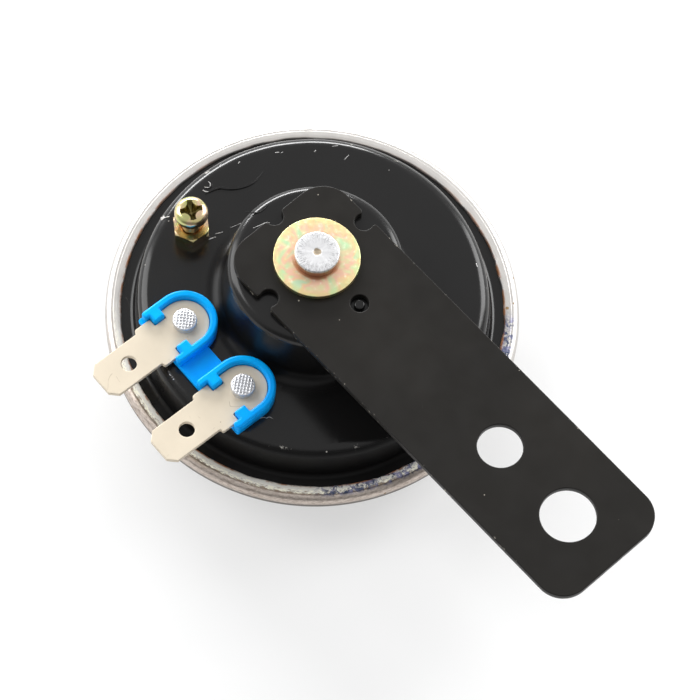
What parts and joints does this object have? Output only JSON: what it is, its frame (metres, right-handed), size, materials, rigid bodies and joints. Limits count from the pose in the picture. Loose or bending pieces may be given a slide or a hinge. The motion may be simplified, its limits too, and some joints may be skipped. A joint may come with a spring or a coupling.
{
  "type": "car horn",
  "caption": "Small round electromagnetic disc horn: crimped body with slotted front cover, flat mounting strap, blade terminals in a plastic insulator, and an adjusting screw with lock nut.",
  "frame": {"origin": "on the horn's axis, in the plane of the flat front face that it lies on", "axes": "+Z along the horn's axis, from the front face towards the back; +X along the mounting strap, from the horn's axis to its far end; the terminals point along about -Y"},
  "size_m": [0.0983, 0.0687, 0.03],
  "materials": {
    "cover_zinc": "matte zinc plating",
    "housing_paint": "gloss black paint",
    "strap_paint": "satin black paint",
    "washer_yellow_zinc": "yellow passivated zinc",
    "rivet_steel": "bright turned steel",
    "screw_yellow_zinc": "yellow passivated zinc",
    "terminal_nickel": "dull plated",
    "rivet_aluminium": "pressed, unfinished",
    "insulator_blue": "moulded, slight gloss",
    "gasket_fibre": "fibre",
    "spring_steel": "bright",
    "soft_iron": "zinc plated",
    "inner_zinc": "zinc plated",
    "bobbin_plastic": "moulded",
    "enamelled_copper": "enamelled wire",
    "phenolic": "pressed board",
    "contact_brass": "stamped",
    "contact_bronze": "stamped spring",
    "contact_metal": "turned"
  },
  "bodies": {
    "horn_body": {"front_cover": "cover_zinc", "housing": "housing_paint", "mounting_bracket": "strap_paint", "bracket_washer": "washer_yellow_zinc", "pole_core": "rivet_steel", "adjusting_nut": "screw_yellow_zinc", "terminal_a": "terminal_nickel", "terminal_b": "terminal_nickel", "terminal_rivet_a": "rivet_aluminium", "terminal_rivet_b": "rivet_aluminium", "terminal_insulator": "insulator_blue", "front_gasket": "gasket_fibre", "rear_gasket": "gasket_fibre", "diaphragm": "spring_steel", "coil_bobbin": "bobbin_plastic", "coil_winding": "enamelled_copper", "inner_insulator": "phenolic", "coil_tag": "contact_brass", "contact_arm": "contact_bronze", "arm_pad": "phenolic", "contact_plate": "contact_brass", "contact_spacer": "phenolic", "contact_washer": "phenolic", "fixed_contact": "contact_metal", "moving_contact": "contact_metal"},
    "armature_set": {"armature": "soft_iron", "diaphragm_washer": "inner_zinc", "tone_disc_spacer": "inner_zinc", "tone_disc": "inner_zinc", "tone_disc_washer": "inner_zinc"},
    "tuning_screw": {"adjusting_screw": "screw_yellow_zinc"}
  },
  "joints": [
    {"name": "armature_travel", "type": "slide", "parent": "horn_body", "child": "armature_set", "axis": [0, 0, 1], "range_m": [-0.0004, 0.0004], "stiffness_N_per_m": 3000, "deforming": ["diaphragm"]},
    {"name": "tuning_screw_turn", "type": "hinge", "parent": "horn_body", "child": "tuning_screw", "pos_m": [-0.02065, -0.00725, 0.02], "axis": [0, 0, 1], "range_deg": [-180, 180]}
  ]
}
